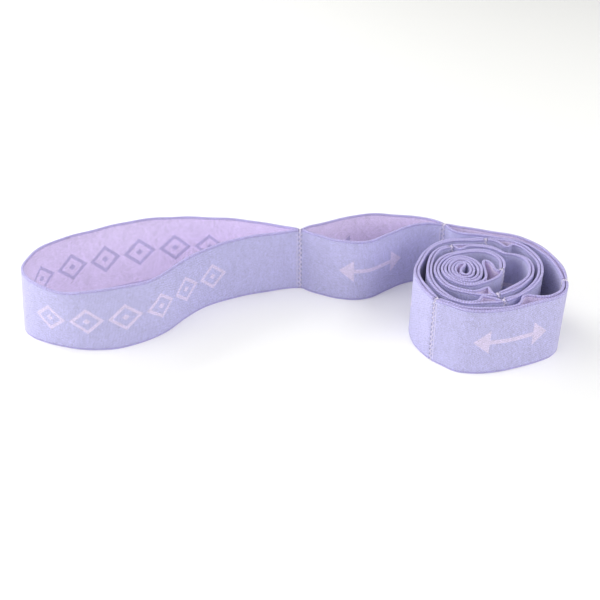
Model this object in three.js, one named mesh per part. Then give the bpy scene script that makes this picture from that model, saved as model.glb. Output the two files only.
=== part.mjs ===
// A multi-loop stretching strap: one long elastic webbing, doubled and sewn together
// across its width at nine seams, so that it forms ten loops in a row.
// It stands on its lower edge on a table: the first two loops lie open and the other
// eight are rolled up clockwise, seen from above.
// Millimetres, +Z up. X runs along the open loops, towards the roll.
// The webbing is split at the seams, because the strap bends there like a hinge.

import * as THREE from 'three';

// ---------------------------------------------------------------- driving dimensions

const WEBBING_WIDTH = 40;
const WEBBING_THICKNESS = 1.4;
const LAYER_PITCH = 1.9; // between the middles of two layers that lie together
const SEAM_SLOT = 4; // length of strap between two neighbouring loops, taken up by stitches
const THREAD_WIDTH = 0.5; // of the zigzag, along the strap
const THREAD_SWING = 0.25; // how far the zigzag swings to each side of the seam
const THREAD_ACROSS = 3.7; // through both layers and a little proud of each
const STITCHES = 13; // zigzags in the width of the webbing
const FLAT_STEP = 5; // facet length along gently curved webbing
const ROLL_STEP = 3.2; // facet length in the roll
const CORE_STEP = 1.6; // facet length in the tight middle of the roll

// ---------------------------------------------------------------- lay of the strap

// Where each seam stands and which way the strap runs through it, towards the roll.
const SEAMS = [
  { at: [0, 46.8], heading: 0 },
  { at: [87.5, 53], heading: -30 },
  { at: [148, -14], heading: -97 },
  { at: [74.6, -34], heading: 128 },
  { at: [110, 34.4], heading: 0 },
  { at: [110.8, -36], heading: -157 },
  { at: [89, 25], heading: 18 },
  { at: [108.3, -29.4], heading: -160 },
  { at: [114.2, -2], heading: -112 },
];

// The first end loop: one bend of webbing, from seam 1 along the back to the far end
// and along the front to seam 1 again.
const FIRST_LOOP = [
  [-6, 49.6], [-18, 53.2], [-43, 59.8], [-67, 62.8], [-91, 59.8], [-115, 50.8],
  [-137, 37], [-151, 24.5], [-157.2, 11], [-157.8, -2], [-152, -13.5], [-140, -24],
  [-126, -28.4], [-108, -25.2], [-89, -18], [-78.5, -9.9], [-68.7, 5], [-58, 18.6],
  [-47, 28], [-35, 34.8], [-18, 40.6], [-6, 45],
];

// Loops 2 and 3: their layers stand apart, so each has its own line.
const OPEN_LOOPS = [
  {
    outer: [[6, 50.8], [18, 57], [32, 64], [44, 66.1], [58, 65.6], [70, 64], [80, 60.6]],
    inner: [
      [6, 42.8], [13, 38.8], [22, 33], [32, 30.2], [42, 32.5], [53, 41.6], [63, 49.6],
      [73, 54], [80, 55],
    ],
  },
  {
    outer: [
      [94, 50.8], [102, 47.8], [112, 44.4], [122, 40.4], [131.8, 35.2], [139.3, 28],
      [145.2, 16], [148.8, 3], [149.6, -6],
    ],
    inner: [
      [90, 48.2], [93.4, 44.4], [98, 41.9], [105, 39.8], [113, 38], [122, 35.5],
      [130.3, 31.8], [136.7, 26], [142.3, 15], [146, 3], [147.2, -6],
    ],
  },
];

// Loops 4 to 9, rolled up: the line midway between the two layers. The inner layer has
// slack, which stands away as a fold towards the middle of the roll. The fold's own
// points take the place of the inner layer's between two points of the line.
const ROLLED_LOOPS = [
  {
    line: [
      [147, -20], [144.9, -25.4], [140.6, -30.6], [133, -35.4], [122, -40.6], [113, -44],
      [104, -45.9], [95, -46], [87.4, -44.2], [81, -39.6],
    ],
    fold: {
      after: 2,
      points: [
        [136, -32.3], [131, -32.6], [126.6, -31.5], [123.4, -31.4], [121.8, -33.2],
        [120.6, -37], [118.9, -40.2], [116.2, -41.9],
      ],
      until: 5,
    },
  },
  {
    line: [
      [71.2, -27.8], [67.8, -18], [66.1, -9], [66.4, -1], [69.7, 10], [74.4, 19.8],
      [81.8, 28.4], [90, 32.3], [100, 33.5],
    ],
  },
  {
    line: [
      [115.5, 33.4], [123, 31], [130.6, 25.6], [134.8, 17.4], [136.8, 8], [136.6, -2],
      [133.8, -12], [128.2, -21.8], [119.6, -30.8],
    ],
    fold: {
      after: 0,
      points: [[118.4, 29.2], [120.2, 26.4], [122, 25.2], [123.6, 26.5], [125, 28.2]],
      until: 2,
    },
  },
  {
    line: [
      [104, -38], [97, -38.9], [90, -38.2], [83.6, -34.8], [78.2, -28.4], [74.6, -20],
      [73, -11], [73.2, -2], [75, 8], [78.2, 16.4], [83, 22.4],
    ],
    fold: {
      after: -1,
      points: [[105.6, -34], [102.2, -32.5], [99.7, -31.8], [98.5, -33.4], [97.3, -36], [95, -37.3]],
      until: 2,
    },
  },
  {
    line: [
      [95, 26.2], [103, 26.8], [110, 25.4], [115.6, 21], [118.8, 17], [124.6, 15.2],
      [129.4, 10.6], [131.2, 4], [131, -4], [128.4, -11.4], [123, -18.6], [116, -24.8],
    ],
    fold: {
      after: -1,
      points: [[92.4, 22.4], [95, 22], [97.4, 24.4]],
      until: 1,
    },
  },
  {
    line: [
      [103, -29.4], [96, -28.2], [89, -25.6], [83, -21.2], [79, -14.6], [77.3, -6.6],
      [77.8, 1], [80.8, 8.6], [86.4, 14.6], [93.6, 18.3], [101.6, 20.2], [108.6, 18.9],
      [113.6, 14.2], [115.6, 8],
    ],
    fold: {
      after: -1,
      points: [[105.4, -27.6], [104.8, -24.6], [104.4, -21.6], [102.6, -22], [99.6, -24.2], [95.4, -26]],
      until: 2,
    },
  },
];

// The last end loop: wound tight in the middle of the roll. Its line is again midway
// between the layers, and turn is the webbing's own line round the open end of the loop,
// where one layer goes over into the other at part. The inner layer's slack is a long hook
// beside the tight turns.
const LAST_LOOP = {
  line: [
    [112, -7.6], [107.6, -12.2], [102, -16], [96.4, -18.6], [90.6, -18.2], [85.4, -14.2],
    [82.2, -8], [81.6, -1], [84.1, 5.6], [88.4, 10.6], [94, 12], [98.8, 9.2], [101.6, 3.4],
    [102.2, -3], [100.9, -9.3], [96.7, -14], [91.4, -13.8], [87.2, -9.8], [85.6, -3.6],
    [86.9, 3], [91, 7.6], [95.3, 7], [97.6, 1.8], [97.8, -4],
  ],
  turn: [
    [96.1, -10], [91.9, -10.7], [89.2, -7.2], [88.4, -2.6], [89.3, 1.2], [91.6, 4.1],
    [94.1, 4.1], [94, 1.5], [92, -1.4], [91.7, -3], [91.6, -3.5], [91.2, -5.2], [92.8, -8.1],
    [95, -7.8],
  ],
  part: 10, // the turn's first point on the inner layer
  fold: {
    after: -1,
    points: [
      [110.9, -2], [109.9, 2.4], [108.2, 6.2], [106.2, 8.2], [104.9, 6.2], [104.9, 1.2],
      [105.2, -4], [105.1, -8.8], [103.8, -12.6],
    ],
    until: 2,
  },
};

// Where the webbing leans: its lower edge is moved by shift within plateau of the middle,
// and less and less from there out to reach.
const LEANS = [
  { middle: [-134, -27], plateau: 0, reach: 34, shift: [0, 5] },
  { middle: [-80, -8], plateau: 0, reach: 34, shift: [0, 3.2] },
  { middle: [-60, 15], plateau: 0, reach: 28, shift: [0, 2.8] },
  { middle: [-108, 52], plateau: 0, reach: 55, shift: [0, -7] },
  { middle: [-157, 2], plateau: 0, reach: 30, shift: [-2.6, 0] },
  { middle: [9, 41], plateau: 0, reach: 24, shift: [0, -2.4] },
  { middle: [108, -5], plateau: 44, reach: 62, shift: [-1.8, -1.3] },
  { middle: [66, -8], plateau: 0, reach: 20, shift: [0.7, 0] },
  { middle: [74, -34], plateau: 0, reach: 22, shift: [1.2, 1.2] },
];

// ---------------------------------------------------------------- lines in plan

const vector = ([x, y]) => new THREE.Vector2(x, y);

function splineThrough(points) {
  const controls = points.map((point) => new THREE.Vector3(point.x, point.y, 0));
  return new THREE.CatmullRomCurve3(controls, false, 'centripetal');
}

function headingOf(seam) {
  const angle = THREE.MathUtils.degToRad(seam.heading);
  return new THREE.Vector2(Math.cos(angle), Math.sin(angle));
}

const leftOf = (direction) => new THREE.Vector2(-direction.y, direction.x);

// The end of a layer beside a seam: along is -1 before the seam and +1 after it, and
// side is +1 for the outer layer and -1 for the inner one.
function endAtSeam(seam, along, side) {
  const heading = headingOf(seam);
  return vector(seam.at)
    .addScaledVector(heading, along * SEAM_SLOT / 2)
    .addScaledVector(leftOf(heading), side * LAYER_PITCH / 2);
}

// Each point of the middle line, moved sideways onto one of its layers.
function beside(line, ends, side) {
  const points = [vector(ends[0]), ...line.map(vector), vector(ends[1])];
  const spline = splineThrough(points);
  return line.map((point, index) => {
    const tangent = spline.getTangent((index + 1) / (points.length - 1));
    const left = leftOf(new THREE.Vector2(tangent.x, tangent.y).normalize());
    return vector(point).addScaledVector(left, side * LAYER_PITCH / 2);
  });
}

function withFold(points, fold) {
  if (!fold) {
    return points;
  }
  return [
    ...points.slice(0, fold.after + 1),
    ...fold.points.map(vector),
    ...points.slice(fold.until),
  ];
}

// ---------------------------------------------------------------- solids

function facetsAlong(points, step) {
  const spline = splineThrough(points);
  const facets = Math.max(4, Math.round(spline.getLength() / step));
  return spline.getSpacedPoints(facets).map((point) => new THREE.Vector2(point.x, point.y));
}

// Webbing that stands on its edge along a line in plan.
function webbingGeometry(points, step) {
  const line = facetsAlong(points, step);
  const leftEdge = [];
  const rightEdge = [];
  line.forEach((point, index) => {
    const before = line[Math.max(index - 1, 0)];
    const after = line[Math.min(index + 1, line.length - 1)];
    const left = leftOf(after.clone().sub(before).normalize());
    leftEdge.push(point.clone().addScaledVector(left, WEBBING_THICKNESS / 2));
    rightEdge.push(point.clone().addScaledVector(left, -WEBBING_THICKNESS / 2));
  });
  const outline = new THREE.Shape([...leftEdge, ...rightEdge.reverse()]);
  return new THREE.ExtrudeGeometry(outline, { depth: WEBBING_WIDTH, bevelEnabled: false });
}

// How far the lower edge of the strap is moved at a place in plan.
function leanAt(place) {
  const shift = new THREE.Vector2();
  for (const lean of LEANS) {
    const distance = place.distanceTo(vector(lean.middle));
    const share = 1 - THREE.MathUtils.smoothstep(distance, lean.plateau, lean.reach);
    shift.addScaledVector(vector(lean.shift), share);
  }
  return shift;
}

// The lean is whole at the lower edge and runs out to nothing at the upper one.
function leanOver(geometry, leanOf) {
  const position = geometry.getAttribute('position');
  for (let index = 0; index < position.count; index += 1) {
    const place = new THREE.Vector2(position.getX(index), position.getY(index));
    place.addScaledVector(leanOf(place), 1 - position.getZ(index) / WEBBING_WIDTH);
    position.setXY(index, place.x, place.y);
  }
  geometry.computeVertexNormals();
}

// One zigzag of thread up the width of the strap, through both layers.
function threadGeometry() {
  const rise = WEBBING_WIDTH / STITCHES;
  const path = [];
  for (let turn = 0; turn <= STITCHES; turn += 1) {
    path.push(new THREE.Vector2((turn % 2 ? 1 : -1) * THREAD_SWING, turn * rise));
  }
  const halfWidth = new THREE.Vector2(THREAD_WIDTH / 2, 0);
  const rightEdge = path.map((point) => point.clone().add(halfWidth));
  const leftEdge = path.map((point) => point.clone().sub(halfWidth)).reverse();
  const outline = new THREE.Shape([...rightEdge, ...leftEdge]);
  const geometry = new THREE.ExtrudeGeometry(outline, { depth: THREAD_ACROSS, bevelEnabled: false });
  geometry.translate(0, 0, -THREAD_ACROSS / 2);
  geometry.rotateX(Math.PI / 2);
  return geometry;
}

// ---------------------------------------------------------------- materials and pieces

const webbingMaterial = new THREE.MeshStandardMaterial({
  name: 'webbing', color: 0xb9b6e2, roughness: 0.85, metalness: 0,
});
const threadMaterial = new THREE.MeshStandardMaterial({
  name: 'thread', color: 0xe6ddf4, roughness: 0.6, metalness: 0,
});

const strap = new THREE.Group();

function addWebbing(name, points, step) {
  const geometry = webbingGeometry(points, step);
  leanOver(geometry, leanAt);
  const mesh = new THREE.Mesh(geometry, webbingMaterial);
  mesh.name = name;
  strap.add(mesh);
}

function addLayer(loop, layer, points, step) {
  const side = layer === 'outer' ? 1 : -1;
  const start = endAtSeam(SEAMS[loop - 2], 1, side);
  const end = endAtSeam(SEAMS[loop - 1], -1, side);
  addWebbing(`loop_${String(loop).padStart(2, '0')}_${layer}_layer`, [start, ...points, end], step);
}

function addThread(seam, number) {
  const geometry = threadGeometry();
  const turn = THREE.MathUtils.degToRad(seam.heading);
  const lean = leanAt(vector(seam.at)).rotateAround(new THREE.Vector2(), -turn);
  leanOver(geometry, () => lean);
  const mesh = new THREE.Mesh(geometry, threadMaterial);
  mesh.name = `seam_${number}_thread`;
  mesh.position.set(seam.at[0], seam.at[1], 0);
  mesh.rotation.z = turn;
  strap.add(mesh);
}

// ---------------------------------------------------------------- the strap

addWebbing(
  'loop_01_webbing',
  [endAtSeam(SEAMS[0], -1, 1), ...FIRST_LOOP.map(vector), endAtSeam(SEAMS[0], -1, -1)],
  FLAT_STEP,
);

OPEN_LOOPS.forEach((loop, index) => {
  const number = index + 2;
  addLayer(number, 'outer', loop.outer.map(vector), FLAT_STEP);
  addLayer(number, 'inner', loop.inner.map(vector), ROLL_STEP);
});

ROLLED_LOOPS.forEach((loop, index) => {
  const number = index + 4;
  const ends = [SEAMS[number - 2].at, SEAMS[number - 1].at];
  addLayer(number, 'outer', beside(loop.line, ends, 1), ROLL_STEP);
  addLayer(number, 'inner', withFold(beside(loop.line, ends, -1), loop.fold), CORE_STEP);
});

const lastSeam = SEAMS[SEAMS.length - 1];
const lastEnds = [lastSeam.at, LAST_LOOP.turn[0]];
const turn = LAST_LOOP.turn.map(vector);
const lastOuter = [
  endAtSeam(lastSeam, 1, 1),
  ...beside(LAST_LOOP.line, lastEnds, 1),
  ...turn.slice(0, LAST_LOOP.part),
];
const lastInner = [
  endAtSeam(lastSeam, 1, -1),
  ...withFold(beside(LAST_LOOP.line, lastEnds, -1), LAST_LOOP.fold),
  ...turn.slice(LAST_LOOP.part).reverse(),
];
addWebbing('loop_10_outer_layer', lastOuter, CORE_STEP);
addWebbing('loop_10_inner_layer', lastInner, CORE_STEP);

SEAMS.forEach((seam, index) => addThread(seam, index + 1));

// The origin is midway along and across the strap, on the table under it.
const box = new THREE.Box3().setFromObject(strap);
const middle = box.getCenter(new THREE.Vector3());
strap.position.set(-middle.x, -middle.y, -box.min.z);

export default strap;
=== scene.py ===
"""Looks of a multi-loop stretching strap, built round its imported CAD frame.

One long elastic webbing is laid double and sewn across its width at nine seams. Each panel
between two seams is a piece of webbing here, standing on its lower edge along a line in
plan, and each seam is a piece of thread. Lengths are written in millimetres, in the plan in
which the strap was laid out, and become metres in the row frame in to_frame().
"""

import math

import bpy
import numpy as np
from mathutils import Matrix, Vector


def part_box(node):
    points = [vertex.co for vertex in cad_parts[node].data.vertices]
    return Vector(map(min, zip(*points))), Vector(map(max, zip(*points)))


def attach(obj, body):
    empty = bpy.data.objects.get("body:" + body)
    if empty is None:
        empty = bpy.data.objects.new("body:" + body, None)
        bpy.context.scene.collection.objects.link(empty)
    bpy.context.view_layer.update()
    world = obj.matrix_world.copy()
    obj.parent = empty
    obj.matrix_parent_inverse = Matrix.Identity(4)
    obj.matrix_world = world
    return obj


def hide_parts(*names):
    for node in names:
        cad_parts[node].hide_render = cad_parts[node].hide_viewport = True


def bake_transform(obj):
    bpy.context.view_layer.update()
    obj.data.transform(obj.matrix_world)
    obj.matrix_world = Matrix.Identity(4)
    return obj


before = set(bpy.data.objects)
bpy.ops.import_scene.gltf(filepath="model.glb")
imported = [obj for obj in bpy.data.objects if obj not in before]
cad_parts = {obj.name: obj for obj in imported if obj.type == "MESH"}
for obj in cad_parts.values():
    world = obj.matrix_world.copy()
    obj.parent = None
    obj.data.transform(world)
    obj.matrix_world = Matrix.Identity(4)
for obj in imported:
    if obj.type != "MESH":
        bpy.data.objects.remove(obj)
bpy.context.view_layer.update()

# ------------------------------------------------------------------ driving dimensions, mm

MM = 0.001
WIDTH = 40.0  # of the webbing
LAYER_PITCH = 1.9  # between the middles of two layers that lie together
PINCHED_PITCH = 1.44  # the same under the stitches of a seam
SEAM_SLOT = 4.0  # of strap taken up by one seam
BODY_HALF = 0.72  # half the webbing's thickness
STEP = 0.4  # along the webbing
BODY_STEP = 2.4  # across it, between its selvedges
# The section near an edge: distance from the edge and half the thickness there. The top is
# almost flat, and a shallow groove runs along below it.
EDGE_SECTION = [
    (0.0, 0.40), (0.05, 0.57), (0.16, 0.68), (0.34, 0.73), (0.60, 0.73), (0.78, 0.69),
    (0.92, 0.61), (1.06, 0.61), (1.20, 0.68), (1.40, 0.72), (2.0, 0.72), (2.8, 0.72),
]
GROOVE_DEPTH = 1.0  # of the groove's middle, below the edge
PICK_PITCH = 1.4  # between the weft's turns along an edge, which show as small bumps
PICK_BUMP = 0.05
PICK_REACH = 0.8  # from the edge, beyond which the bumps have run out

SPLINE_SAMPLES = 60  # on each stretch of a line, before its points are spaced evenly
SMOOTHING = 0.5  # evens out the line in plan

# Small waves of the webbing, as (size in mm, mm per radian). The sway moves the upper edge
# in plan, the ride moves the edges up and down, and the pick drift makes the weft uneven.
LONG_SWAY_X = (0.22, 9.0)
SHORT_SWAY_X = (0.14, 5.6)
LONG_SWAY_Y = (0.24, 11.0)
SHORT_SWAY_Y = (0.12, 6.3)
SWAY_DRIFT_X = 14.0  # mm of y over which the long sway in x shifts by a radian
SWAY_DRIFT_Y = 17.0  # the same for the long sway in y
LONG_RIDE = (0.22, 8.5)
SHORT_RIDE = (0.16, 3.9)
LOWER_RIDE = (0.1, 10.0)
LOWER_RIDE_MEAN = 0.12
PIECE_RIDE = 0.25  # at most, of a whole piece's upper edge
RIDE_REACH = 12.0  # from a seam to where the webbing rides freely
PICK_DRIFT = (1.0, 3.1)  # its size is in radians of the bumps along an edge
NAME_PHASE = 0.9  # radians that each letter's code adds to the phase of a piece's waves

SEAM_NOTCH = 0.6  # how far the stitches pull the upper edge down
SEAM_LIFT = 0.15  # how far they pull the lower edge up
SEAM_SQUEEZE = 0.2  # share of the webbing's thickness lost under them
SQUEEZE_REACH = 1.3

STITCHES = 24  # of the zigzag, in the width
ZIGZAG_SWING = 1.0
ZIGZAG_MARGINS = (1.3, 0.9)  # left free at the lower and the upper edge
THREAD_RADIUS = 0.25
STRAIGHT_STITCHES = 16
STRAIGHT_OFFSET = -1.9  # of the second, straight row of stitches, along the strap
STRAIGHT_MARGINS = (1.6, 1.4)
FINE_THREAD_RADIUS = 0.15
THREAD_SIDES = 8
THREAD_END_TAPER = 0.6  # share of its radius that a thread keeps at its two ends
TOP_WRAPS = (-0.55, -0.05, 0.45)  # where threads wrap over the upper edge, along the strap
BOTTOM_WRAP = 0.1  # where one wraps round the lower edge

# ------------------------------------------------------------------ lay of the strap, mm

# Where each seam stands and which way the strap runs through it, towards the roll.
SEAMS = [
    ((0, 46.8), 0),
    ((87.5, 53), -30),
    ((148, -14), -97),
    ((74.6, -34), 128),
    ((110, 34.4), 0),
    ((110.8, -36), -157),
    ((89, 25), 18),
    ((108.3, -29.4), -160),
    ((114.2, -2), -112),
]

# The first end loop, from seam 1 along the back and round to seam 1 again.
FIRST_LOOP = [
    (-6, 49.6), (-18, 53.2), (-43, 59.8), (-67, 62.8), (-91, 59.8), (-115, 50.8),
    (-137, 37), (-151, 24.5), (-157.2, 11), (-157.8, -2), (-152, -13.5), (-140, -24),
    (-126, -28.4), (-108, -25.2), (-89, -18), (-78.5, -9.9), (-68.7, 5), (-58, 18.6),
    (-47, 28), (-35, 34.8), (-18, 40.6), (-6, 45),
]

# Loops 2 and 3: the outer and the inner layer of each.
OPEN_LOOPS = [
    (
        [(6, 50.8), (18, 57), (32, 64), (44, 66.1), (58, 65.6), (70, 64), (80, 60.6)],
        [
            (6, 42.8), (13, 38.8), (22, 33), (32, 30.2), (42, 32.5), (53, 41.6), (63, 49.6),
            (73, 54), (80, 55),
        ],
    ),
    (
        [
            (94, 50.8), (102, 47.8), (112, 44.4), (122, 40.4), (131.8, 35.2), (139.3, 28),
            (145.2, 16), (148.8, 3), (149.6, -6),
        ],
        [
            (90, 48.2), (93.4, 44.4), (98, 41.9), (105, 39.8), (113, 38), (122, 35.5),
            (130.3, 31.8), (136.7, 26), (142.3, 15), (146, 3), (147.2, -6),
        ],
    ),
]

# Loops 4 to 9, rolled up: the line midway between the layers, and the slack of the inner
# layer as a fold, whose points take the place of those between after and until.
ROLLED_LOOPS = [
    {
        "line": [
            (147, -20), (144.9, -25.4), (140.6, -30.6), (133, -35.4), (122, -40.6),
            (113, -44), (104, -45.9), (95, -46), (87.4, -44.2), (81, -39.6),
        ],
        "fold": [
            (136, -32.3), (131, -32.6), (126.6, -31.5), (123.4, -31.4), (121.8, -33.2),
            (120.6, -37), (118.9, -40.2), (116.2, -41.9),
        ],
        "after": 2,
        "until": 5,
    },
    {
        "line": [
            (71.2, -27.8), (67.8, -18), (66.1, -9), (66.4, -1), (69.7, 10), (74.4, 19.8),
            (81.8, 28.4), (90, 32.3), (100, 33.5),
        ],
    },
    {
        "line": [
            (115.5, 33.4), (123, 31), (130.6, 25.6), (134.8, 17.4), (136.8, 8), (136.6, -2),
            (133.8, -12), (128.2, -21.8), (119.6, -30.8),
        ],
        "fold": [(118.4, 29.2), (120.2, 26.4), (122, 25.2), (123.6, 26.5), (125, 28.2)],
        "after": 0,
        "until": 2,
    },
    {
        "line": [
            (104, -38), (97, -38.9), (90, -38.2), (83.6, -34.8), (78.2, -28.4), (74.6, -20),
            (73, -11), (73.2, -2), (75, 8), (78.2, 16.4), (83, 22.4),
        ],
        "fold": [
            (105.6, -34), (102.2, -32.5), (99.7, -31.8), (98.5, -33.4), (97.3, -36), (95, -37.3),
        ],
        "after": -1,
        "until": 2,
    },
    {
        "line": [
            (95, 26.2), (103, 26.8), (110, 25.4), (115.6, 21), (118.8, 17), (124.6, 15.2),
            (129.4, 10.6), (131.2, 4), (131, -4), (128.4, -11.4), (123, -18.6), (116, -24.8),
        ],
        "fold": [(92.4, 22.4), (95, 22), (97.4, 24.4)],
        "after": -1,
        "until": 1,
    },
    {
        "line": [
            (103, -29.4), (96, -28.2), (89, -25.6), (83, -21.2), (79, -14.6), (77.3, -6.6),
            (77.8, 1), (80.8, 8.6), (86.4, 14.6), (93.6, 18.3), (101.6, 20.2), (108.6, 18.9),
            (113.6, 14.2), (115.6, 8),
        ],
        "fold": [
            (105.4, -27.6), (104.8, -24.6), (104.4, -21.6), (102.6, -22), (99.6, -24.2),
            (95.4, -26),
        ],
        "after": -1,
        "until": 2,
    },
]

# The last end loop, wound tight in the middle: turn is the webbing's line round its end.
LAST_LOOP = {
    "line": [
        (112, -7.6), (107.6, -12.2), (102, -16), (96.4, -18.6), (90.6, -18.2), (85.4, -14.2),
        (82.2, -8), (81.6, -1), (84.1, 5.6), (88.4, 10.6), (94, 12), (98.8, 9.2), (101.6, 3.4),
        (102.2, -3), (100.9, -9.3), (96.7, -14), (91.4, -13.8), (87.2, -9.8), (85.6, -3.6),
        (86.9, 3), (91, 7.6), (95.3, 7), (97.6, 1.8), (97.8, -4),
    ],
    "turn": [
        (96.1, -10), (91.9, -10.7), (89.2, -7.2), (88.4, -2.6), (89.3, 1.2), (91.6, 4.1),
        (94.1, 4.1), (94, 1.5), (92, -1.4), (91.2, -5.2), (92.8, -8.1), (95, -7.8),
    ],
    "fold": [
        (110.9, -2), (109.9, 2.4), (108.2, 6.2), (106.2, 8.2), (104.9, 6.2), (104.9, 1.2),
        (105.2, -4), (105.1, -8.8), (103.8, -12.6),
    ],
    "after": -1,
    "until": 2,
}

# Where the webbing leans: its lower edge is moved by shift within plateau of the middle,
# and less and less from there out to reach, as (middle, plateau, reach, shift).
LEANS = [
    ((-134, -27), 0, 34, (0, 5)),
    ((-80, -8), 0, 34, (0, 3.2)),
    ((-60, 15), 0, 28, (0, 2.8)),
    ((-108, 52), 0, 55, (0, -7)),
    ((-157, 2), 0, 30, (-2.6, 0)),
    ((9, 41), 0, 24, (0, -2.4)),
    ((108, -5), 44, 62, (-1.8, -1.3)),
    ((66, -8), 0, 20, (0.7, 0)),
    ((74, -34), 0, 22, (1.2, 1.2)),
]

# ------------------------------------------------------------------ lines in plan


def left_of(direction):
    """The direction turned a quarter turn to the left. Works on one or on many."""
    return np.stack([-direction[..., 1], direction[..., 0]], axis=-1)


def unit(vectors):
    return vectors / np.linalg.norm(vectors, axis=-1, keepdims=True)


def seam_frame(number):
    """The middle of a seam in plan, the strap's heading there and the direction to its left."""
    at, degrees = SEAMS[number - 1]
    angle = math.radians(degrees)
    heading = np.array([math.cos(angle), math.sin(angle)])
    return np.array(at, float), heading, left_of(heading)


def spline_pieces(points):
    """Each stretch of the centripetal Catmull-Rom spline through the points, as a cubic."""
    points = np.asarray(points, float)
    padded = np.vstack([2 * points[0] - points[1], points, 2 * points[-1] - points[-2]])
    gaps = np.sqrt(np.linalg.norm(np.diff(padded, axis=0), axis=1))
    for i in range(len(points) - 1):
        p0, p1, p2, p3 = padded[i : i + 4]
        d0, d1, d2 = gaps[i : i + 3]
        t1 = ((p1 - p0) / d0 - (p2 - p0) / (d0 + d1) + (p2 - p1) / d1) * d1
        t2 = ((p2 - p1) / d1 - (p3 - p1) / (d1 + d2) + (p3 - p2) / d2) * d1
        yield p1, t1, -3 * p1 + 3 * p2 - 2 * t1 - t2, 2 * p1 - 2 * p2 + t1 + t2


def spline_tangents(points):
    """The spline's direction at each of its points but the first and the last."""
    return unit(np.array([piece[1] for piece in spline_pieces(points)])[1:])


def distance_along(line):
    """Each point's distance from the line's start, along the line."""
    return np.concatenate([[0], np.cumsum(np.linalg.norm(np.diff(line, axis=0), axis=1))])


def evenly_along(line, step):
    """The same line with points an even step apart, and each point's distance from its start."""
    along = distance_along(line)
    count = max(8, round(along[-1] / step))
    at = np.linspace(0, along[-1], count + 1)
    return np.stack([np.interp(at, along, column) for column in line.T], axis=1), at


def spline_line(points, step=STEP):
    """The spline as a line of even steps, evened out a little but held at its ends."""
    t = np.linspace(0, 1, SPLINE_SAMPLES, endpoint=False)[:, None]
    dense = [a + t * (b + t * (c + t * d)) for a, b, c, d in spline_pieces(points)]
    dense.append(np.asarray(points[-1:], float))
    line, _ = evenly_along(np.vstack(dense), step)
    reach = int(3 * SMOOTHING / step)
    weights = np.exp(-0.5 * (np.arange(-reach, reach + 1) * step / SMOOTHING) ** 2)
    before = 2 * line[0] - line[reach:0:-1]
    after = 2 * line[-1] - line[-2 : -reach - 2 : -1]
    held = np.vstack([before, line, after])
    even = [np.convolve(column, weights / weights.sum(), "valid") for column in held.T]
    return evenly_along(np.stack(even, axis=1), step)


def seam_points(number, along, side):
    """A layer's points beside and in a seam: along is -1 before it and +1 after it, and
    side is +1 for the outer layer and -1 for the inner one."""
    at, heading, left = seam_frame(number)
    beside_it = at + heading * along * SEAM_SLOT / 2 + left * side * LAYER_PITCH / 2
    in_it = at + left * side * PINCHED_PITCH / 2
    return [in_it, beside_it] if along > 0 else [beside_it, in_it]


def beside(line, ends, side):
    """The points of a line midway between two layers, moved sideways onto one of them."""
    tangents = spline_tangents([ends[0], *line, ends[1]])
    return list(np.array(line, float) + left_of(tangents) * side * LAYER_PITCH / 2)


def with_fold(points, loop):
    if "fold" not in loop:
        return points
    return [*points[: loop["after"] + 1], *loop["fold"], *points[loop["until"] :]]


def layer_points(loop, side):
    """The points of one layer of loops 2 to 9, from seam to seam."""
    if loop <= 3:
        points = OPEN_LOOPS[loop - 2][0 if side > 0 else 1]
    else:
        rolled = ROLLED_LOOPS[loop - 4]
        ends = (SEAMS[loop - 2][0], SEAMS[loop - 1][0])
        points = beside(rolled["line"], ends, side)
        if side < 0:
            points = with_fold(points, rolled)
    return [*seam_points(loop - 1, 1, side), *points, *seam_points(loop, -1, side)]


def last_loop_points():
    ends = (SEAMS[-1][0], LAST_LOOP["turn"][0])
    outer = beside(LAST_LOOP["line"], ends, 1)
    inner = with_fold(beside(LAST_LOOP["line"], ends, -1), LAST_LOOP)
    return [
        *seam_points(len(SEAMS), 1, 1),
        *outer,
        *LAST_LOOP["turn"],
        *inner[::-1],
        *seam_points(len(SEAMS), 1, -1)[::-1],
    ]


def first_loop_points():
    return [*seam_points(1, -1, 1)[::-1], *FIRST_LOOP, *seam_points(1, -1, -1)]


# ------------------------------------------------------------------ from plan to frame


def smooth_step(values, low, high):
    share = np.clip((values - low) / (high - low), 0, 1)
    return share * share * (3 - 2 * share)


def lean_at(plan):
    """How far the lower edge of the strap is moved at places in plan."""
    moved = np.zeros_like(plan)
    for middle, plateau, reach, shift in LEANS:
        distance = np.linalg.norm(plan - np.array(middle), axis=-1)
        moved += (1 - smooth_step(distance, plateau, reach))[..., None] * np.array(shift)
    return moved


def wave(shape, place, phase=0.0):
    """A wave whose shape is (size, mm per radian), at places along it."""
    size, length = shape
    return size * np.sin(place / length + phase)


def sway_at(plan):
    """A slight waviness of the upper edge: smooth, so that neighbouring layers go together."""
    x, y = plan.T
    in_x = wave(LONG_SWAY_X, x, y / SWAY_DRIFT_X) + wave(SHORT_SWAY_X, y)
    in_y = wave(LONG_SWAY_Y, x, math.pi / 2 - y / SWAY_DRIFT_Y) + wave(SHORT_SWAY_Y, x)
    return np.stack([in_x, in_y], axis=1)


def warp(points):
    """Points of the upright strap in plan, with its lean and its waviness."""
    plan = points[:, :2]
    height = points[:, 2:] / WIDTH
    moved = points.copy()
    moved[:, :2] += (1 - height) * lean_at(plan) + height * sway_at(plan)
    return moved


# The seam's box gives its middle in the row frame, half of its lean away from the plan's.
seam_1_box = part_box("seam_1_thread")
seam_1_middle = np.array([(low + high) / 2 / MM for low, high in zip(*seam_1_box)][:2])
seam_1_plan = np.array(SEAMS[0][0], float)
PLAN_SHIFT = seam_1_middle - seam_1_plan - lean_at(seam_1_plan) / 2


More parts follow.
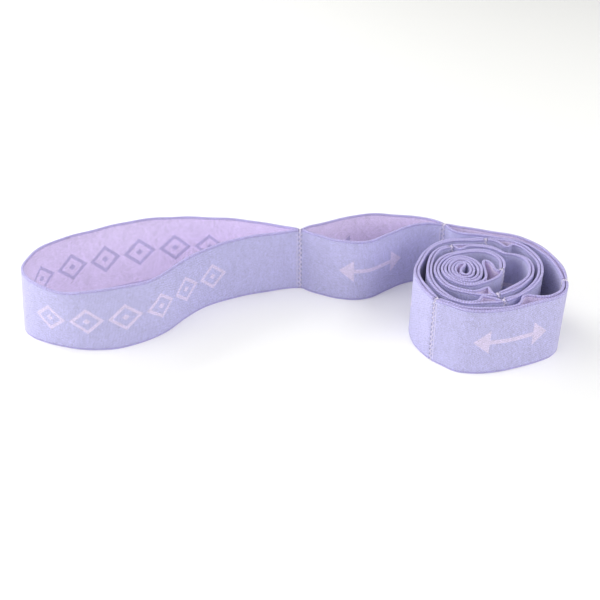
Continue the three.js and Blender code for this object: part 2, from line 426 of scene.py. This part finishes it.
def to_frame(points):
    """Points of the plan, in mm, warped and placed in the row frame, in metres."""
    placed = warp(np.asarray(points, float))
    placed[:, :2] += PLAN_SHIFT
    return placed * MM


# ------------------------------------------------------------------ webbing


def across_points():
    """Distances from the lower edge at which the section has points, and half the
    webbing's thickness at each."""
    edge, half = np.array(EDGE_SECTION).T
    body = WIDTH - 2 * edge[-1]
    middle = edge[-1] + np.linspace(0, body, round(body / BODY_STEP) + 1)[1:-1]
    across = np.concatenate([edge, middle, (WIDTH - edge)[::-1]])
    return across, np.concatenate([half, np.full(len(middle), BODY_HALF), half[::-1]])


def near_seams(at):
    """1 at the two ends of a piece, which are in seams, falling off to 0 away from them."""
    distance = np.minimum(at, at[-1] - at)
    return np.exp(-((distance / SQUEEZE_REACH) ** 2))


def edge_heights(at, close, phase):
    """Heights of the lower and the upper edge along a piece: each piece of webbing rides a
    little up or down between its seams, where the stitches hold all the layers level. The
    factors of phase only keep one wave out of step with the next."""
    free = smooth_step(np.minimum(at, at[-1] - at), 0, RIDE_REACH)
    swing = wave(LONG_RIDE, at, phase) + wave(SHORT_RIDE, at, 2.3 * phase)
    swing += PIECE_RIDE * math.sin(5 * phase)
    upper = WIDTH + free * swing - SEAM_NOTCH * close
    lift = LOWER_RIDE_MEAN + wave(LOWER_RIDE, at, 1.7 * phase)
    lower = free * lift + SEAM_LIFT * close
    return lower, upper


def float_attribute(mesh, name, values):
    kind = "FLOAT_VECTOR" if values.ndim == 2 else "FLOAT"
    attribute = mesh.attributes.new(name, kind, "POINT")
    field = "vector" if values.ndim == 2 else "value"
    attribute.data.foreach_set(field, values.astype(np.float32).ravel())


def mesh_object(name, points, faces, attributes, material):
    """A smooth-shaded object. faces is a list of lists of corner indices."""
    mesh = bpy.data.meshes.new(name)
    mesh.from_pydata(points.tolist(), [], faces)
    for attribute, values in attributes.items():
        float_attribute(mesh, attribute, values)
    mesh.shade_smooth()
    mesh.materials.append(material)
    mesh.update()
    piece = bpy.data.objects.new(name, mesh)
    bpy.context.scene.collection.objects.link(piece)
    return piece


def ring_faces(rows, ring):
    """Quads between rows of a closed ring of points."""
    first = np.arange(rows - 1)[:, None] * ring + np.arange(ring)[None, :]
    after = np.arange(rows - 1)[:, None] * ring + (np.arange(ring) + 1)[None, :] % ring
    return np.stack([first, after, after + ring, first + ring], axis=-1).reshape(-1, 4)


def end_cap(offset, levels, flip):
    """Closes an end of the webbing rung by rung: its section is levels points high on each
    side, and its first point has the number offset."""
    faces = []
    for level in range(levels - 1):
        opposite = 2 * levels - 1 - level
        corners = [level, level + 1, opposite - 1, opposite]
        faces.append([offset + corner for corner in (corners[::-1] if flip else corners)])
    return faces


def heights_and_halves(at, across, half, close, phase):
    """For each place along and across a piece, its height and half its thickness, with the
    small bumps of the weft's turns near the edges."""
    lower, upper = edge_heights(at, close, phase)
    height = lower[:, None] + (upper - lower)[:, None] * across[None, :] / WIDTH
    edge = np.minimum(across, WIDTH - across)
    near_edge = np.clip(1 - edge / PICK_REACH, 0, 1)
    pick = np.cos(2 * math.pi * at / PICK_PITCH + wave(PICK_DRIFT, at, phase))
    bump = PICK_BUMP * pick[:, None] * near_edge[None, :]
    outward = np.where(across > WIDTH / 2, 1, -1)
    squeezed = half[None, :] * (1 - SEAM_SQUEEZE * close[:, None])
    return height + outward[None, :] * bump, squeezed + bump / 2


def nearest_marks(at, marks):
    """For each place along a piece, where its woven mark has its middle, and its kind."""
    middle = np.zeros_like(at)
    kind = np.zeros_like(at)
    reach = at[-1] / 2 / len(marks)
    for share, number in marks:
        near = np.abs(at - share * at[-1]) <= reach
        middle[near] = share * at[-1]
        kind[near] = number
    return middle, kind


def webbing(name, points, outside, marks):
    """A piece of webbing along a line in plan. outside is +1 if the loop's outside is on the
    left of the line and -1 if it is on the right. marks are the woven marks, each as the
    share of the length at which it has its middle, and its kind."""
    line, at = spline_line(points)
    left = left_of(unit(np.gradient(line, axis=0)))
    across, half = across_points()
    close = near_seams(at)
    phase = NAME_PHASE * sum(ord(letter) for letter in name)
    height, thick = heights_and_halves(at, across, half, close, phase)

    # Each row of points is a ring: up the left side of the webbing and down the right one.
    rows, levels = len(line), len(across)
    level = np.concatenate([np.arange(levels), np.arange(levels)[::-1]])
    side = np.repeat([1.0, -1.0], levels)
    ring = len(level)
    offset = thick[:, level] * side[None, :]
    plan = line[:, None, :] + left[:, None, :] * offset[..., None]
    solid = np.concatenate([plan, height[:, level][..., None]], axis=-1).reshape(-1, 3)
    faces = ring_faces(rows, ring).tolist()
    faces += end_cap(0, levels, flip=True)
    faces += end_cap((rows - 1) * ring, levels, flip=False)

    # What the material needs to know. Neighbouring pieces start at different places in the
    # pattern of the weave, mm apart.
    start = 37.0 * (phase % 11)
    weave = [
        np.repeat(at + start, ring),
        np.tile(across[level], rows),
        np.tile(side * outside, rows),
    ]
    middle, kind = nearest_marks(at, marks)
    mark = [
        np.repeat((at - middle) * -outside, ring),
        np.tile(across[level] - WIDTH / 2, rows),
        np.repeat(kind, ring),
    ]
    attributes = {
        "weave": np.stack(weave, axis=1),
        "mark": np.stack(mark, axis=1),
        "seam": np.repeat(close, ring),
    }
    piece = mesh_object(name, to_frame(solid), faces, attributes, webbing_material)
    return piece


# ------------------------------------------------------------------ thread


def tube(path, radius):
    """Points, faces and the thread attribute of a round tube along a path, closed at its
    ends. The attribute holds the distance along it and the angle round it."""
    sides = THREAD_SIDES
    along = distance_along(path)
    tangent = unit(np.gradient(path, axis=0))
    normal = np.zeros_like(path)
    no_thread_runs = [0.3, 0.5, 0.8]
    last = np.cross(tangent[0], no_thread_runs)
    for i, direction in enumerate(tangent):
        last = last - direction * np.dot(last, direction)
        last = last / np.linalg.norm(last)
        normal[i] = last
    side = np.cross(tangent, normal)
    angle = np.linspace(0, 2 * math.pi, sides, endpoint=False)
    cosine, sine = np.cos(angle)[None, :, None], np.sin(angle)[None, :, None]
    ring = cosine * normal[:, None] + sine * side[:, None]
    taper = np.ones(len(path))
    taper[0] = taper[-1] = THREAD_END_TAPER
    points = (path[:, None] + radius * taper[:, None, None] * ring).reshape(-1, 3)
    faces = ring_faces(len(path), sides)[:, ::-1].tolist()
    faces.append(list(range(sides)))
    faces.append([(len(path) - 1) * sides + i for i in range(sides)][::-1])
    twist = [np.repeat(along, sides), np.tile(angle, len(path)), np.zeros(len(points))]
    return points, faces, np.stack(twist, axis=1)


def seam_surface(along):
    """How far the outer surface of the doubled strap is from its middle, beside a seam."""
    share = min(abs(along) / (SEAM_SLOT / 2), 1)
    middle = (PINCHED_PITCH + (LAYER_PITCH - PINCHED_PITCH) * share) / 2
    squeeze = SEAM_SQUEEZE * math.exp(-((along / SQUEEZE_REACH) ** 2))
    return middle + BODY_HALF * (1 - squeeze)


def zigzag_path(side):
    """The zigzag on one side of the strap, as (along, out, height) about the seam."""
    low = ZIGZAG_MARGINS[0]
    high = WIDTH - SEAM_NOTCH - ZIGZAG_MARGINS[1]
    rise = (high - low) / STITCHES
    per_stitch = 8  # points of the path
    arch = 0.9 * THREAD_RADIUS  # of each stitch, from its needle holes to its middle
    sunk = 0.12  # at the needle holes
    even_share = 0.25  # of the rise, while the rest eases in and out at the needle holes
    path = []
    for i in range(STITCHES * per_stitch + 1):
        turn = i / per_stitch
        share = turn % 1
        direction = 1 if int(turn) % 2 == 0 else -1
        along = ZIGZAG_SWING * direction * (2 * share - 1)
        lift = arch * (1 - abs(2 * share - 1) ** 3) - sunk
        eased = 0.5 - 0.5 * math.cos(math.pi * share)
        height = low + rise * (int(turn) + even_share * share + (1 - even_share) * eased)
        path.append((along, side * (seam_surface(along) + lift), height))
    return path


def straight_path(side, phase):
    """A straight row of short stitches, each dipping into the webbing at its ends."""
    low = STRAIGHT_MARGINS[0]
    high = WIDTH - SEAM_NOTCH - STRAIGHT_MARGINS[1]
    per_stitch = 6  # points of the path
    arch = 1.1 * FINE_THREAD_RADIUS
    sunk = 0.75 * FINE_THREAD_RADIUS
    wander = 0.08  # to each side
    count = STRAIGHT_STITCHES * per_stitch
    path = []
    for i in range(count + 1):
        share = (i / per_stitch) % 1
        lift = arch * math.sin(math.pi * share) - sunk
        along = STRAIGHT_OFFSET + wander * math.sin(0.7 * i + phase)
        height = low + (high - low) * i / count
        path.append((along, side * (seam_surface(along) + lift), height))
    return path


def edge_wrap_path(along, top, slant):
    """One thread that wraps over an edge from one side of the strap to the other."""
    proud_of_side, proud_of_edge = 0.08, 0.12
    hook = 1.3  # how far from the edge its two ends are
    squareness = 0.6  # below 1, it is fuller than a half circle
    reach = seam_surface(along) + proud_of_side
    level = WIDTH - SEAM_NOTCH if top else SEAM_LIFT
    outward = 1 if top else -1
    path = []
    for share in np.linspace(0, 1, 15):
        angle = math.pi * share
        below = hook * (1 - math.sin(angle) ** squareness) - proud_of_edge
        path.append((along + slant * (share - 0.5), reach * math.cos(angle), level - outward * below))
    return path


def loose_end_path(along, side, length, bend):
    """The cut end of a thread, standing up out of the seam and bending over."""
    depth_of_root = 0.6
    root = WIDTH - SEAM_NOTCH - depth_of_root
    out_at_root = 0.5  # from the strap's middle, and twice that at the tip
    curl = 1.35  # radians by which it has bent over at its tip
    path = []
    for share in np.linspace(0, 1, 9):
        out = side * out_at_root * (1 + share**1.5)
        height = root + length * math.sin(share * curl)
        path.append((along + bend * share**2, out, height))
    return path


def seam_strands(number):
    """The path and the radius of each thread of a seam: a zigzag and a straight row on both
    sides, the threads that wrap over the edges, and the cut ends at the top. The sines of
    phase only make each seam a little unlike the next."""
    phase = 1.3 * number
    strands = []
    for side in (1, -1):
        strands.append((zigzag_path(side), THREAD_RADIUS))
        strands.append((straight_path(side, phase), FINE_THREAD_RADIUS))
    for index, along in enumerate(TOP_WRAPS):
        slant = 0.5 * math.sin(phase + 2 * index)
        strands.append((edge_wrap_path(along, True, slant), 0.9 * THREAD_RADIUS))
    strands.append((edge_wrap_path(BOTTOM_WRAP, False, slant=0.3), 0.8 * THREAD_RADIUS))
    for index, side in enumerate((1, -1)):
        length = 1.1 + 0.7 * math.sin(2 * phase + 1.9 * index) ** 2
        bend = 1.5 * math.sin(phase + 2.4 * index)
        strands.append((loose_end_path(0.25 * side, side, length, bend), 0.8 * THREAD_RADIUS))
    return strands


def stitches(number):
    """All the thread of one seam."""
    at, heading, left = seam_frame(number)
    points, faces, twists = [], [], []
    count = 0
    for path, radius in seam_strands(number):
        local = np.array(path)
        plan = at + local[:, :1] * heading + local[:, 1:2] * left
        placed = np.hstack([plan, local[:, 2:]])
        tube_points, tube_faces, twist = tube(placed, radius)
        points.append(tube_points)
        twists.append(twist)
        faces += [[count + corner for corner in face] for face in tube_faces]
        count += len(tube_points)
    piece = mesh_object(
        f"seam_{number}_stitches",
        to_frame(np.vstack(points)),
        faces,
        {"thread": np.vstack(twists)},
        thread_material,
    )
    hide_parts(f"seam_{number}_thread")
    return piece


# ------------------------------------------------------------------ materials


class Shader:
    """Short calls that add nodes to a material and link them."""

    def __init__(self, name):
        self.material = bpy.data.materials.new(name)
        self.material.use_nodes = True
        self.tree = self.material.node_tree
        self.tree.nodes.clear()

    def feed(self, socket, value):
        if isinstance(value, bpy.types.NodeSocket):
            self.tree.links.new(value, socket)
        else:
            socket.default_value = value

    def attribute(self, name):
        node = self.tree.nodes.new("ShaderNodeAttribute")
        node.attribute_name = name
        return node

    def parts(self, vector):
        node = self.tree.nodes.new("ShaderNodeSeparateXYZ")
        self.feed(node.inputs[0], vector)
        return node.outputs

    def vector(self, x, y, z):
        node = self.tree.nodes.new("ShaderNodeCombineXYZ")
        for socket, value in zip(node.inputs, (x, y, z)):
            self.feed(socket, value)
        return node.outputs[0]

    def math(self, operation, *values):
        node = self.tree.nodes.new("ShaderNodeMath")
        node.operation = operation
        for socket, value in zip(node.inputs, values):
            self.feed(socket, value)
        return node.outputs[0]

    def ramp(self, value, low, high, to_low=0.0, to_high=1.0):
        """A smooth step from to_low at low to to_high at high."""
        node = self.tree.nodes.new("ShaderNodeMapRange")
        node.interpolation_type = "SMOOTHSTEP"
        for socket, given in zip(node.inputs, (value, low, high, to_low, to_high)):
            self.feed(socket, given)
        return node.outputs[0]

    def noise(self, vector, scale, detail, roughness=0.5):
        node = self.tree.nodes.new("ShaderNodeTexNoise")
        self.feed(node.inputs["Vector"], vector)
        self.feed(node.inputs["Scale"], scale)
        self.feed(node.inputs["Detail"], detail)
        self.feed(node.inputs["Roughness"], roughness)
        return node.outputs[0]

    def mix(self, share, a, b, blend="MIX"):
        """A colour between a and b. Inputs 6 and 7 and output 2 are the node's colour ones."""
        node = self.tree.nodes.new("ShaderNodeMix")
        node.data_type = "RGBA"
        node.blend_type = blend
        self.feed(node.inputs[0], share)
        self.feed(node.inputs[6], a)
        self.feed(node.inputs[7], b)
        return node.outputs[2]

    def bump(self, height, distance, strength):
        node = self.tree.nodes.new("ShaderNodeBump")
        self.feed(node.inputs["Strength"], strength)
        self.feed(node.inputs["Distance"], distance)
        self.feed(node.inputs["Height"], height)
        return node.outputs[0]

    def finish(self, **sockets):
        surface = self.tree.nodes.new("ShaderNodeBsdfPrincipled")
        for name, value in sockets.items():
            self.feed(surface.inputs[name.replace("_", " ")], value)
        output = self.tree.nodes.new("ShaderNodeOutputMaterial")
        self.tree.links.new(surface.outputs[0], output.inputs[0])
        return self.material


def rgb(red, green, blue):
    """A colour as seen on a screen, 0 to 255, as the linear one that a shader takes."""
    linear = []
    for value in (red / 255, green / 255, blue / 255):
        linear.append(value / 12.92 if value <= 0.04045 else ((value + 0.055) / 1.055) ** 2.4)
    return (*linear, 1.0)


OUTER_BLUE = rgb(181, 178, 218)
OUTER_MARK = rgb(208, 197, 226)
INNER_PINK = rgb(221, 208, 240)
INNER_MARK = rgb(186, 177, 217)
SELVEDGE = rgb(176, 168, 217)
# The next colour is painted shade: the dark line in the shallow groove below each edge of the
# webbing.
GROOVE_SHADE_COLOUR = rgb(122, 108, 182)
THREAD = rgb(238, 231, 246)
THREAD_DARK = rgb(190, 176, 214)
SHEEN = rgb(240, 236, 252)
GROOVE_SHADE_STRENGTH = 0.9
RIM_FADE = (0.45, 0.75)  # mm from the edge, over which the rim's colour runs out
GROOVE_SHADE_FADE = (0.08, 0.3)  # mm from the groove's middle, over which its painted shade runs out
HOLE_ROW_FADE = (0.08, 0.2)  # of the seam attribute, over which the painted shade beside a row of needle holes runs out
RIB_PITCH = 0.84  # mm between the ribs of the weave
FLOAT_LENGTH = 1.15  # mm that a rib's yarn lies on the face
THREAD_TWIST_PITCH = 0.9  # mm
LOZENGES, ARROW = 1, 2  # kinds of woven mark

# How much each pattern of the weave lightens and darkens the webbing, and how much painted shade
# darkens it at the seams.
GRAIN_SHADE = 1.0
STREAK_SHADE = 0.28
FIBRE_SHADE = 0.28
CLOUD_SHADE = 0.12
RIB_SHADE = 0.06
FLOAT_SHADE = 0.13
PAINTED_PINCH_SHADE = 0.06  # painted shade where a seam pinches the webbing
# painted shade in the needle holes beside each seam's zigzag
PAINTED_HOLE_SHADE = 0.5
DARKEST = 0.3  # share of its colour that the darkest spot keeps

# How high each pattern stands, as a share of the relief's depth.
RELIEF_DEPTH = 0.06  # mm
RIB_HEIGHT = 0.5
FLOAT_HEIGHT = 0.3
FIBRE_HEIGHT = 0.9
MARK_HEIGHT = 0.5


def lozenge_band(shader, x, y):
    """1 inside a row of lozenge outlines with dots in them, the end loop's mark. A plain
    geometric pattern: count lozenges, pitch apart, wide and high from their middles."""
    count, pitch, wide, high, stroke = 6, 22.0, 10.0, 8.6, 0.3
    dot_size, soft = 0.23, 0.03
    cell = shader.math("SUBTRACT", pitch / 2, shader.math("PINGPONG", x, pitch / 2))
    size = shader.math(
        "ADD",
        shader.math("DIVIDE", cell, wide),
        shader.math("DIVIDE", shader.math("ABSOLUTE", y), high),
    )
    ring = shader.math("ABSOLUTE", shader.math("SUBTRACT", size, 1 - stroke / 2))
    ring = shader.ramp(ring, stroke / 2 - soft, stroke / 2 + soft, to_low=1.0, to_high=0.0)
    dot = shader.ramp(size, dot_size - soft, dot_size + soft, to_low=1.0, to_high=0.0)
    shape = shader.math("MAXIMUM", ring, dot)
    inside = shader.math("LESS_THAN", shader.math("ABSOLUTE", x), pitch * count / 2)
    return shader.math("MULTIPLY", shape, inside)


def double_arrow(shader, x, y):
    """1 inside a double-headed arrow, the small loops' mark. Its tips are reach from its
    middle, its heads are head long, and its shaft is shaft wide to each side."""
    reach, head, slope, shaft, soft = 22.0, 9.0, 0.8, 1.3, 0.18
    x, y = shader.math("ABSOLUTE", x), shader.math("ABSOLUTE", y)
    tip = shader.math("MULTIPLY", shader.math("SUBTRACT", reach, x), slope)
    in_head = shader.math("SUBTRACT", y, tip)
    past_head = shader.math("SUBTRACT", reach - head, x)
    head_distance = shader.math("MAXIMUM", in_head, past_head)
    shaft_distance = shader.math(
        "MAXIMUM",
        shader.math("SUBTRACT", y, shaft),
        shader.math("SUBTRACT", x, reach - head),
    )
    distance = shader.math("MINIMUM", head_distance, shaft_distance)
    return shader.ramp(distance, -soft, soft, to_low=1.0, to_high=0.0)


def woven_mark(shader, along, across, face):
    """1 inside a woven mark, with edges as ragged as the weave makes them."""
    mark_x, mark_y, kind = shader.parts(shader.attribute("mark").outputs["Vector"])[:3]
    raggedness = 0.5  # mm
    ragged = shader.noise(shader.vector(along, across, face), scale=1.6, detail=1.0)
    ragged = shader.math("MULTIPLY_ADD", ragged, raggedness, -raggedness / 2)
    x = shader.math("ADD", mark_x, ragged)
    y = shader.math("ADD", mark_y, ragged)
    tolerance = 0.4
    band = shader.math("COMPARE", kind, float(LOZENGES), tolerance)
    arrow = shader.math("COMPARE", kind, float(ARROW), tolerance)
    return shader.math(
        "ADD",
        shader.math("MULTIPLY", lozenge_band(shader, x, y), band),
        shader.math("MULTIPLY", double_arrow(shader, x, y), arrow),
    )


def needle_hole_shade_mask(shader, across, seam):
    """1 in the row of needle holes along each side of a seam's zigzag, two stitches apart, where they
    are darkened with painted shade.
    """
    at_swing = math.exp(-((ZIGZAG_SWING / SQUEEZE_REACH) ** 2))
    off_row = shader.math("ABSOLUTE", shader.math("SUBTRACT", seam, at_swing))
    row = shader.ramp(off_row, *HOLE_ROW_FADE, to_low=1.0, to_high=0.0)
    turn = shader.math("MULTIPLY", across, math.pi * STITCHES / WIDTH)
    return shader.math("MULTIPLY", row, shader.ramp(shader.math("COSINE", turn), 0.0, 0.8))


def cloth_colour(shader, along, edge, face, mark, streak):
    """The colours of the two faces with their marks and of the rims, with painted shade in the
    grooves below the edges, which shows as uneven dashes, one for each turn of the weft."""
    outer = shader.ramp(face, -0.2, 0.2)
    outer_colour = shader.mix(mark, OUTER_BLUE, OUTER_MARK)
    inner_colour = shader.mix(mark, INNER_PINK, INNER_MARK)
    colour = shader.mix(outer, inner_colour, outer_colour)
    rim = shader.ramp(edge, *RIM_FADE, to_low=1.0, to_high=0.0)
    colour = shader.mix(rim, colour, SELVEDGE)
    pick = shader.math("SINE", shader.math("MULTIPLY", along, 2 * math.pi / PICK_PITCH))
    dash = shader.math("MULTIPLY_ADD", pick, 0.3, shader.math("MULTIPLY_ADD", streak, 0.8, 0.3))
    # Painted shade in the groove below each edge, broken into dashes.
    off_groove = shader.math("ABSOLUTE", shader.math("SUBTRACT", edge, GROOVE_DEPTH))
    groove_shade = shader.ramp(off_groove, *GROOVE_SHADE_FADE, to_low=GROOVE_SHADE_STRENGTH, to_high=0.0)
    return shader.mix(shader.math("MULTIPLY", groove_shade, dash), colour, GROOVE_SHADE_COLOUR)


def make_webbing_material():
    shader = Shader("lavender_webbing")
    weave = shader.attribute("weave").outputs["Vector"]
    along, across, face = shader.parts(weave)[:3]
    seam = shader.attribute("seam").outputs["Fac"]
    edge = shader.math("MINIMUM", across, shader.math("SUBTRACT", WIDTH, across))
    mark = woven_mark(shader, along, across, face)

    # The weave: upright ribs of uneven width, broken into short floats offset row by row.
    rib = shader.math("SINE", shader.math("MULTIPLY", along, 2 * math.pi / RIB_PITCH))
    row = shader.math("FLOOR", shader.math("DIVIDE", along, RIB_PITCH))
    floats = shader.math("MULTIPLY", across, 2 * math.pi / FLOAT_LENGTH)
    floats = shader.math("SINE", shader.math("MULTIPLY_ADD", row, math.pi, floats))

    # What is uneven in it: a fine grain, streaks up the ribs, fibres and worn patches.
    grain = shader.noise(shader.vector(along, across, face), scale=2.3, detail=0.0)
    streak = shader.vector(along, shader.math("MULTIPLY", across, 0.16), face)
    streak = shader.noise(streak, scale=1.5, detail=3.0, roughness=0.7)
    fibre = shader.vector(shader.math("MULTIPLY", along, 2.4), across, face)
    fibre = shader.noise(fibre, scale=1.1, detail=3.0, roughness=0.65)
    cloud = shader.vector(shader.math("MULTIPLY", along, 1.6), across, face)
    cloud = shader.noise(cloud, scale=0.09, detail=2.0)

    shade = 1.0
    noises = {grain: GRAIN_SHADE, streak: STREAK_SHADE, fibre: FIBRE_SHADE, cloud: CLOUD_SHADE}
    for noise, amount in noises.items():
        shade = shader.math("MULTIPLY_ADD", shader.math("SUBTRACT", noise, 0.5), amount, shade)
    # Ribs and floats are the weave's pattern. Near a seam, painted shade darkens the webbing where
    # the stitches pinch it and in the needle holes.
    hole_shade = needle_hole_shade_mask(shader, across, seam)
    patterns_and_painted_shade = {rib: RIB_SHADE, floats: FLOAT_SHADE, seam: -PAINTED_PINCH_SHADE, hole_shade: -PAINTED_HOLE_SHADE}
    for pattern, amount in patterns_and_painted_shade.items():
        shade = shader.math("MULTIPLY_ADD", pattern, amount, shade)
    shade = shader.math("MAXIMUM", shade, DARKEST)
    colour = cloth_colour(shader, along, edge, face, mark, streak)
    colour = shader.mix(1.0, colour, shader.vector(shade, shade, shade), "MULTIPLY")

    height = shader.math("MULTIPLY", floats, FLOAT_HEIGHT)
    height = shader.math("MULTIPLY_ADD", rib, RIB_HEIGHT, height)
    height = shader.math("MULTIPLY_ADD", fibre, FIBRE_HEIGHT, height)
    height = shader.math("MULTIPLY_ADD", mark, MARK_HEIGHT, height)
    return shader.finish(
        Base_Color=colour,
        Roughness=shader.math("MULTIPLY_ADD", fibre, 0.2, 0.62),
        Specular_IOR_Level=0.6,
        Sheen_Weight=0.4,
        Sheen_Roughness=0.4,
        Sheen_Tint=SHEEN,
        Normal=shader.bump(height, RELIEF_DEPTH * MM, strength=0.8),
    )


def make_thread_material():
    shader = Shader("pale_thread")
    along, angle, _ = shader.parts(shader.attribute("thread").outputs["Vector"])[:3]
    plies = 2.0
    twist = shader.math("MULTIPLY", angle, plies)
    twist = shader.math("MULTIPLY_ADD", along, 2 * math.pi / THREAD_TWIST_PITCH, twist)
    ply = shader.math("SINE", twist)
    fibre = shader.vector(shader.math("MULTIPLY", along, 2.0), angle, twist)
    fibre = shader.noise(fibre, scale=1.2, detail=2.0)
    shade = shader.math("MULTIPLY_ADD", ply, 0.3, shader.math("MULTIPLY", fibre, 0.6))
    colour = shader.mix(shade, THREAD, THREAD_DARK)
    return shader.finish(
        Base_Color=colour,
        Roughness=shader.math("MULTIPLY_ADD", fibre, 0.2, 0.45),
        Sheen_Weight=0.3,
        Sheen_Roughness=0.4,
        Normal=shader.bump(ply, 0.05 * MM, strength=0.7),
    )


webbing_material = make_webbing_material()
thread_material = make_thread_material()

# ------------------------------------------------------------------ the pieces

# Woven marks: the share of the piece's length at which each has its middle, and its kind.
END_LOOP_MARKS = [(0.29, LOZENGES), (0.71, LOZENGES)]
SMALL_LOOP_MARKS = [(0.5, ARROW)]


first_loop = webbing("loop_01_cloth", first_loop_points(), outside=-1, marks=END_LOOP_MARKS)
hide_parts("loop_01_webbing")
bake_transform(first_loop)

for loop in range(2, len(SEAMS) + 1):
    for layer, side in (("outer", 1), ("inner", -1)):
        points = layer_points(loop, side)
        name = f"loop_{loop:02d}_{layer}_cloth"
        cloth = webbing(name, points, outside=side, marks=SMALL_LOOP_MARKS)
        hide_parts(f"loop_{loop:02d}_{layer}_layer")
        if loop <= 3:
            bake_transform(cloth)
        else:
            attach(cloth, "roll")

last_loop = webbing("loop_10_cloth", last_loop_points(), outside=1, marks=END_LOOP_MARKS)
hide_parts("loop_10_outer_layer", "loop_10_inner_layer")
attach(last_loop, "roll")

SEAM_BODIES = {1: "loop_2", 2: "loop_3"}  # the other seams are in the roll
for number in range(1, len(SEAMS) + 1):
    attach(stitches(number), SEAM_BODIES.get(number, "roll"))

# ------------------------------------------------------------------ camera, floor and light

CAMERA_ELEVATION = math.radians(31)
CAMERA_DISTANCE = 693.7  # mm
CAMERA_AIM_HEIGHT = 18.0  # mm
LENS = 72.0  # mm
SENSOR = 36.0  # mm
FLOOR_HALF_SIDE = 6.0  # metres
FLOOR_COLOUR = (0.96, 0.96, 0.94, 1)
FLOOR_GLOW = 0.05  # keeps the floor's far parts as pale as its middle
SOFTBOX_DISTANCE = 1.3  # metres
# Name, azimuth and elevation in degrees, size in metres and power in watts.
SOFTBOXES = [
    ("left_softbox", -85, 15, 0.8, 9.0),
    ("back_left_softbox", -135, 30, 0.8, 10.0),
    ("high_left_softbox", -100, 70, 1.2, 4.8),
    ("front_left_softbox", -50, 22, 0.8, 4.2),
    ("front_softbox", 0, 55, 0.8, 3.2),
    ("front_right_softbox", 48, 28, 0.8, 7.4),
    ("back_right_softbox", 100, 30, 0.8, 5.0),
]
AMBIENT = 0.02

aim = np.array([*PLAN_SHIFT, CAMERA_AIM_HEIGHT]) * MM
back = np.array([0, -math.cos(CAMERA_ELEVATION), math.sin(CAMERA_ELEVATION)])
camera_data = bpy.data.cameras.new("camera")
camera_data.lens = LENS
camera_data.sensor_width = SENSOR
camera = bpy.data.objects.new("camera", camera_data)
camera.location = aim + back * CAMERA_DISTANCE * MM
camera.rotation_euler = (math.pi / 2 - CAMERA_ELEVATION, 0, 0)
bpy.context.scene.collection.objects.link(camera)
bpy.context.scene.camera = camera


def make_floor():
    """A plain, flat, pale floor."""
    half = FLOOR_HALF_SIDE
    mesh = bpy.data.meshes.new("floor")
    corners = [(-half, -half, 0), (half, -half, 0), (half, half, 0), (-half, half, 0)]
    mesh.from_pydata(corners, [], [(0, 1, 2, 3)])
    shader = Shader("pale_floor")
    mesh.materials.append(
        shader.finish(
            Base_Color=FLOOR_COLOUR,
            Roughness=0.9,
            Emission_Color=FLOOR_COLOUR,
            Emission_Strength=FLOOR_GLOW,
        )
    )
    floor = bpy.data.objects.new("floor", mesh)
    bpy.context.scene.collection.objects.link(floor)


def add_softbox(name, azimuth, elevation, size, power):
    """A square area light aimed at the middle of the strap. Azimuth 0 is in front of it, at
    -Y, and 90 on its right, at +X."""
    turn, rise = math.radians(azimuth), math.radians(elevation)
    outward = math.cos(rise)
    place = Vector((math.sin(turn) * outward, -math.cos(turn) * outward, math.sin(rise)))
    data = bpy.data.lights.new(name, "AREA")
    data.size = size
    data.energy = power
    light = bpy.data.objects.new(name, data)
    light.location = place * SOFTBOX_DISTANCE
    light.rotation_euler = (-place).to_track_quat("-Z", "Y").to_euler()
    bpy.context.scene.collection.objects.link(light)


make_floor()
for softbox in SOFTBOXES:
    add_softbox(*softbox)

world = bpy.data.worlds.new("studio")
world.use_nodes = True
background = world.node_tree.nodes["Background"]
background.inputs["Color"].default_value = (1, 1, 1, 1)
background.inputs["Strength"].default_value = AMBIENT
bpy.context.scene.world = world
bpy.context.scene.view_settings.view_transform = "Standard"
